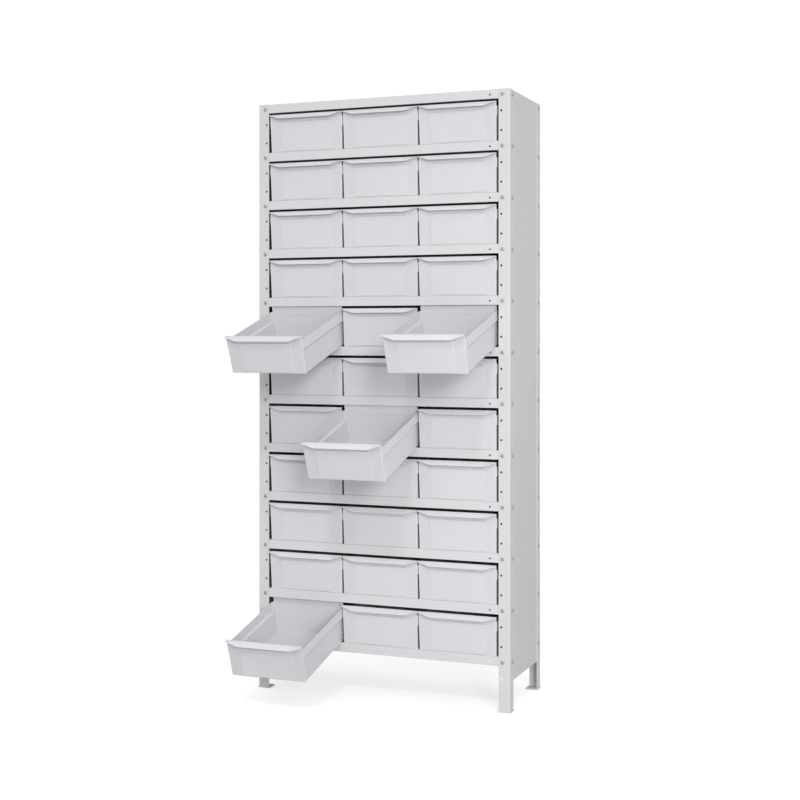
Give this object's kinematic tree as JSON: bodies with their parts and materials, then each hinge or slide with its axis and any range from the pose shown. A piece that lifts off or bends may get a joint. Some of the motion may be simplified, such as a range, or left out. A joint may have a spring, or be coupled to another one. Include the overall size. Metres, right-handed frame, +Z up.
{
  "type": "drawer parts cabinet",
  "caption": "Tall bolted steel shelving cabinet with rows of pull-out plastic drawers for small parts; some stand open and tipped forward on the shelf edge.",
  "frame": {"origin": "on the floor, at the centre of the overall footprint with the open drawers counted; the cabinet's width is centred on it", "axes": "+X to the right of someone facing the drawers, +Y from the drawer fronts to the back panel, +Z up"},
  "size_m": [0.9064, 0.6804, 2],
  "materials": {
    "post_steel": "light grey powder coat, fine texture",
    "panel_steel": "light grey powder coat, fine texture",
    "shelf_steel": "light grey powder coat, fine texture",
    "fixing_zinc": "bright zinc plate",
    "drawer_plastic": "cool light grey moulded plastic, satin"
  },
  "bodies": {
    "cabinet": {"post_front_left": "post_steel", "foot_plate_front_left": "post_steel", "post_front_right": "post_steel", "foot_plate_front_right": "post_steel", "post_rear_left": "post_steel", "foot_plate_rear_left": "post_steel", "post_rear_right": "post_steel", "foot_plate_rear_right": "post_steel", "side_panel_left": "panel_steel", "side_panel_right": "panel_steel", "back_panel": "panel_steel", "shelf_01": "shelf_steel", "shelf_02": "shelf_steel", "shelf_03": "shelf_steel", "shelf_04": "shelf_steel", "shelf_05": "shelf_steel", "shelf_06": "shelf_steel", "shelf_07": "shelf_steel", "shelf_08": "shelf_steel", "shelf_09": "shelf_steel", "shelf_10": "shelf_steel", "shelf_11": "shelf_steel", "shelf_12": "shelf_steel", "shelf_bolts": "fixing_zinc", "shelf_nuts": "fixing_zinc"},
    "drawer_01_left": {"drawer_01_left": "drawer_plastic"},
    "drawer_01_middle": {"drawer_01_middle": "drawer_plastic"},
    "drawer_01_right": {"drawer_01_right": "drawer_plastic"},
    "drawer_02_left": {"drawer_02_left": "drawer_plastic"},
    "drawer_02_middle": {"drawer_02_middle": "drawer_plastic"},
    "drawer_02_right": {"drawer_02_right": "drawer_plastic"},
    "drawer_03_left": {"drawer_03_left": "drawer_plastic"},
    "drawer_03_middle": {"drawer_03_middle": "drawer_plastic"},
    "drawer_03_right": {"drawer_03_right": "drawer_plastic"},
    "drawer_04_left": {"drawer_04_left": "drawer_plastic"},
    "drawer_04_middle": {"drawer_04_middle": "drawer_plastic"},
    "drawer_04_right": {"drawer_04_right": "drawer_plastic"},
    "drawer_05_left": {"drawer_05_left": "drawer_plastic"},
    "drawer_05_middle": {"drawer_05_middle": "drawer_plastic"},
    "drawer_05_right": {"drawer_05_right": "drawer_plastic"},
    "drawer_06_left": {"drawer_06_left": "drawer_plastic"},
    "drawer_06_middle": {"drawer_06_middle": "drawer_plastic"},
    "drawer_06_right": {"drawer_06_right": "drawer_plastic"},
    "drawer_07_left": {"drawer_07_left": "drawer_plastic"},
    "drawer_07_middle": {"drawer_07_middle": "drawer_plastic"},
    "drawer_07_right": {"drawer_07_right": "drawer_plastic"},
    "drawer_08_left": {"drawer_08_left": "drawer_plastic"},
    "drawer_08_middle": {"drawer_08_middle": "drawer_plastic"},
    "drawer_08_right": {"drawer_08_right": "drawer_plastic"},
    "drawer_09_left": {"drawer_09_left": "drawer_plastic"},
    "drawer_09_middle": {"drawer_09_middle": "drawer_plastic"},
    "drawer_09_right": {"drawer_09_right": "drawer_plastic"},
    "drawer_10_left": {"drawer_10_left": "drawer_plastic"},
    "drawer_10_middle": {"drawer_10_middle": "drawer_plastic"},
    "drawer_10_right": {"drawer_10_right": "drawer_plastic"},
    "drawer_11_left": {"drawer_11_left": "drawer_plastic"},
    "drawer_11_middle": {"drawer_11_middle": "drawer_plastic"},
    "drawer_11_right": {"drawer_11_right": "drawer_plastic"}
  },
  "joints": [
    {"name": "drawer_01_left_slide", "type": "slide", "parent": "cabinet", "child": "drawer_01_left", "axis": [0, -1, 0], "range_m": [0, 0.285]},
    {"name": "drawer_01_middle_slide", "type": "slide", "parent": "cabinet", "child": "drawer_01_middle", "axis": [0, -1, 0], "range_m": [0, 0.285]},
    {"name": "drawer_01_right_slide", "type": "slide", "parent": "cabinet", "child": "drawer_01_right", "axis": [0, -1, 0], "range_m": [0, 0.285]},
    {"name": "drawer_02_left_slide", "type": "slide", "parent": "cabinet", "child": "drawer_02_left", "axis": [0, -1, 0], "range_m": [0, 0.285]},
    {"name": "drawer_02_middle_slide", "type": "slide", "parent": "cabinet", "child": "drawer_02_middle", "axis": [0, -1, 0], "range_m": [0, 0.285]},
    {"name": "drawer_02_right_slide", "type": "slide", "parent": "cabinet", "child": "drawer_02_right", "axis": [0, -1, 0], "range_m": [0, 0.285]},
    {"name": "drawer_03_left_slide", "type": "slide", "parent": "cabinet", "child": "drawer_03_left", "axis": [0, -1, 0], "range_m": [0, 0.285]},
    {"name": "drawer_03_middle_slide", "type": "slide", "parent": "cabinet", "child": "drawer_03_middle", "axis": [0, -1, 0], "range_m": [0, 0.285]},
    {"name": "drawer_03_right_slide", "type": "slide", "parent": "cabinet", "child": "drawer_03_right", "axis": [0, -1, 0], "range_m": [0, 0.285]},
    {"name": "drawer_04_left_slide", "type": "slide", "parent": "cabinet", "child": "drawer_04_left", "axis": [0, -1, 0], "range_m": [0, 0.285]},
    {"name": "drawer_04_middle_slide", "type": "slide", "parent": "cabinet", "child": "drawer_04_middle", "axis": [0, -1, 0], "range_m": [0, 0.285]},
    {"name": "drawer_04_right_slide", "type": "slide", "parent": "cabinet", "child": "drawer_04_right", "axis": [0, -1, 0], "range_m": [0, 0.285]},
    {"name": "drawer_05_left_tilt", "type": "hinge", "parent": "cabinet", "child": "drawer_05_left", "pos_m": [-0.2715, -0.00902, 1.1695], "axis": [-1, 0, 0], "range_deg": [0, 17]},
    {"name": "drawer_05_middle_slide", "type": "slide", "parent": "cabinet", "child": "drawer_05_middle", "axis": [0, -1, 0], "range_m": [0, 0.285]},
    {"name": "drawer_05_right_tilt", "type": "hinge", "parent": "cabinet", "child": "drawer_05_right", "pos_m": [0.2715, -0.00902, 1.1695], "axis": [-1, 0, 0], "range_deg": [0, 16]},
    {"name": "drawer_06_left_slide", "type": "slide", "parent": "cabinet", "child": "drawer_06_left", "axis": [0, -1, 0], "range_m": [0, 0.109]},
    {"name": "drawer_06_middle_slide", "type": "slide", "parent": "cabinet", "child": "drawer_06_middle", "axis": [0, -1, 0], "range_m": [0, 0.285]},
    {"name": "drawer_06_right_slide", "type": "slide", "parent": "cabinet", "child": "drawer_06_right", "axis": [0, -1, 0], "range_m": [0, 0.118]},
    {"name": "drawer_07_left_slide", "type": "slide", "parent": "cabinet", "child": "drawer_07_left", "axis": [0, -1, 0], "range_m": [0, 0.285]},
    {"name": "drawer_07_middle_tilt", "type": "hinge", "parent": "cabinet", "child": "drawer_07_middle", "pos_m": [0, -0.00902, 0.8381], "axis": [-1, 0, 0], "range_deg": [0, 17.2]},
    {"name": "drawer_07_right_slide", "type": "slide", "parent": "cabinet", "child": "drawer_07_right", "axis": [0, -1, 0], "range_m": [0, 0.285]},
    {"name": "drawer_08_left_slide", "type": "slide", "parent": "cabinet", "child": "drawer_08_left", "axis": [0, -1, 0], "range_m": [0, 0.285]},
    {"name": "drawer_08_middle_slide", "type": "slide", "parent": "cabinet", "child": "drawer_08_middle", "axis": [0, -1, 0], "range_m": [0, 0.108]},
    {"name": "drawer_08_right_slide", "type": "slide", "parent": "cabinet", "child": "drawer_08_right", "axis": [0, -1, 0], "range_m": [0, 0.285]},
    {"name": "drawer_09_left_slide", "type": "slide", "parent": "cabinet", "child": "drawer_09_left", "axis": [0, -1, 0], "range_m": [0, 0.285]},
    {"name": "drawer_09_middle_slide", "type": "slide", "parent": "cabinet", "child": "drawer_09_middle", "axis": [0, -1, 0], "range_m": [0, 0.285]},
    {"name": "drawer_09_right_slide", "type": "slide", "parent": "cabinet", "child": "drawer_09_right", "axis": [0, -1, 0], "range_m": [0, 0.285]},
    {"name": "drawer_10_left_slide", "type": "slide", "parent": "cabinet", "child": "drawer_10_left", "axis": [0, -1, 0], "range_m": [0, 0.285]},
    {"name": "drawer_10_middle_slide", "type": "slide", "parent": "cabinet", "child": "drawer_10_middle", "axis": [0, -1, 0], "range_m": [0, 0.285]},
    {"name": "drawer_10_right_slide", "type": "slide", "parent": "cabinet", "child": "drawer_10_right", "axis": [0, -1, 0], "range_m": [0, 0.285]},
    {"name": "drawer_11_left_tilt", "type": "hinge", "parent": "cabinet", "child": "drawer_11_left", "pos_m": [-0.2715, -0.00902, 0.1753], "axis": [-1, 0, 0], "range_deg": [0, 14]},
    {"name": "drawer_11_middle_slide", "type": "slide", "parent": "cabinet", "child": "drawer_11_middle", "axis": [0, -1, 0], "range_m": [0, 0.285]},
    {"name": "drawer_11_right_slide", "type": "slide", "parent": "cabinet", "child": "drawer_11_right", "axis": [0, -1, 0], "range_m": [0, 0.285]}
  ]
}
